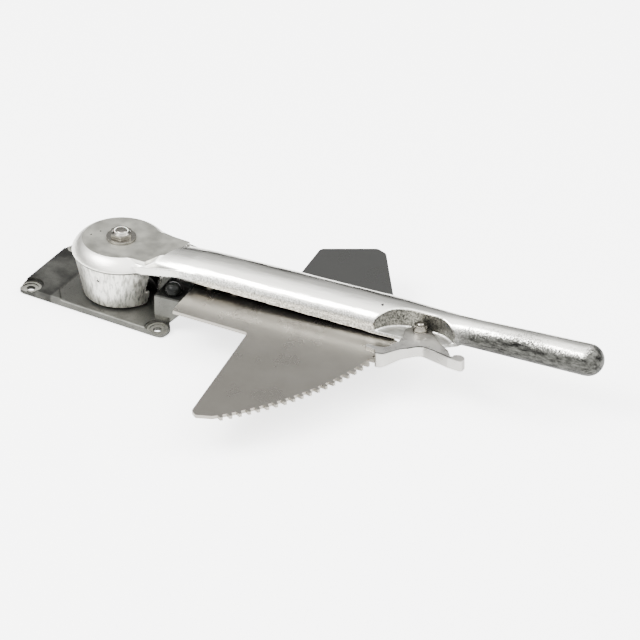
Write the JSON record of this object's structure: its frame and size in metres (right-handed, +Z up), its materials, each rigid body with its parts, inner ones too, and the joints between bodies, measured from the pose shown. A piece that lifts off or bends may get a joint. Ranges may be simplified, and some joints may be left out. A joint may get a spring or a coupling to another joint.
{
  "type": "ratchet hand lever",
  "caption": "Cast hand lever turning on a flange bracket, locked by a squeeze pawl in the teeth of a flat quadrant plate.",
  "frame": {"origin": "on the lever's pivot axis, at the bracket's flat bottom face", "axes": "+X along the bracket's long hole rows towards the handle, +Y across the bracket towards the quadrant's plain fin, +Z up along the pivot axis"},
  "size_m": [0.4962, 0.2904, 0.0629],
  "materials": {
    "cast_polished": "polished casting",
    "cast_satin": "as-cast, satin grey",
    "sheet_steel": "fine satin rolled sheet",
    "cast_steel": "tumbled satin casting",
    "plated_steel": "bright zinc plate",
    "black_steel": "black oxide",
    "spring_steel": "bright drawn wire",
    "bronze": "sintered, oiled",
    "rubber": "matt black",
    "nylon": "natural nylon"
  },
  "bodies": {
    "base": {"bracket": "cast_satin", "quadrant_plate": "sheet_steel", "quadrant_screws": "black_steel", "quadrant_lock_washers": "plated_steel", "quadrant_dowels": "plated_steel", "rubber_bumper": "rubber", "pivot_stud": "plated_steel", "thrust_washer": "bronze", "pivot_washer": "plated_steel", "pivot_lock_nut": "plated_steel", "nut_nylon_insert": "nylon"},
    "lever_arm": {"lever": "cast_polished", "pivot_bushing": "bronze", "pawl_sleeve": "bronze", "pawl_bolt": "plated_steel", "pawl_washer": "plated_steel", "pawl_nut": "plated_steel", "pawl_spring": "spring_steel", "pawl_spring_pin": "black_steel"},
    "locking_pawl": {"pawl": "cast_steel"}
  },
  "joints": [
    {"name": "lever_swing", "type": "hinge", "parent": "base", "child": "lever_arm", "pos_m": [0, 0, 0.045], "axis": [0, 0, 1], "range_deg": [-32.4, 0]},
    {"name": "pawl_squeeze", "type": "hinge", "parent": "lever_arm", "child": "locking_pawl", "pos_m": [0.26905, 0.01984, 0.042], "axis": [0, 0, 1], "range_deg": [0, 8], "stiffness_Nm_per_rad": 0.4, "springref_deg": -20.05}
  ]
}
